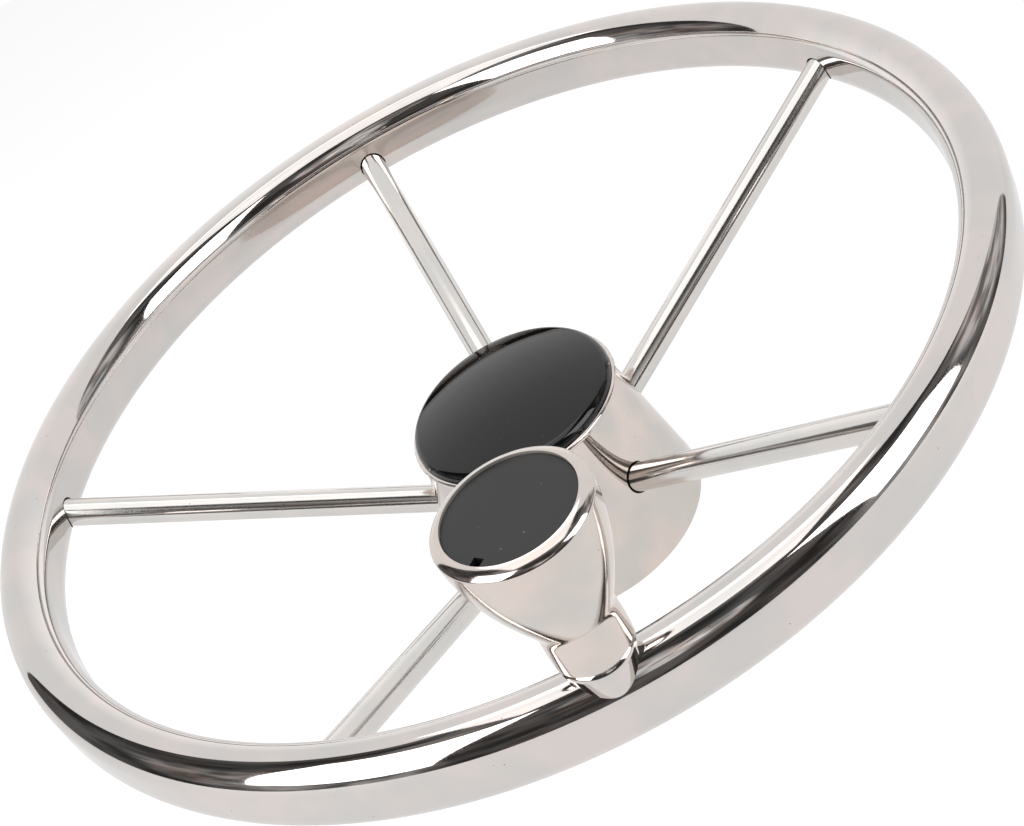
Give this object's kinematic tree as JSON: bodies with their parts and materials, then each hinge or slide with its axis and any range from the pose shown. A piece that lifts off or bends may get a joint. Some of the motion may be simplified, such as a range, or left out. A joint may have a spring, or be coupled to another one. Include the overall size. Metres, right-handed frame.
{
  "type": "boat steering wheel",
  "caption": "Polished stainless boat steering wheel with dished round spokes, a conical hub with a black domed cap and a free-turning goblet knob on the rim.",
  "frame": {"origin": "centre of the hub's back face, on the wheel's turning axis", "axes": "+Z along the turning axis from the hub's back towards the person at the helm; +Y along one spoke; the knob stands on the -Y side of the rim, 4 degrees towards -X"},
  "size_m": [0.343, 0.355, 0.1477],
  "materials": {
    "polished_stainless": "mirror polished",
    "turned_stainless": "fine turned",
    "bolt_steel": "satin",
    "black_cap": "gloss",
    "black_insert": "satin",
    "seal_rubber": "matt",
    "white_bearing_plastic": "smooth"
  },
  "bodies": {
    "wheel": {"rim": "polished_stainless", "spoke_1": "polished_stainless", "spoke_2": "polished_stainless", "spoke_3": "polished_stainless", "spoke_4": "polished_stainless", "spoke_5": "polished_stainless", "hub_shell": "polished_stainless", "knob_foot": "polished_stainless", "hub_boss": "turned_stainless", "hub_back_plate": "turned_stainless", "centre_cap": "black_cap", "cap_seal_ring": "seal_rubber", "knob_bolt": "bolt_steel", "knob_head_washer": "bolt_steel", "knob_thrust_washer": "white_bearing_plastic"},
    "knob": {"knob_body": "polished_stainless", "knob_bush_lower": "white_bearing_plastic", "knob_bush_upper": "white_bearing_plastic", "knob_insert": "black_insert"}
  },
  "joints": [
    {"name": "knob_spin", "type": "hinge", "parent": "wheel", "child": "knob", "pos_m": [-0.0114, -0.163, 0.08], "axis": [0, 0, 1], "continuous": true}
  ]
}
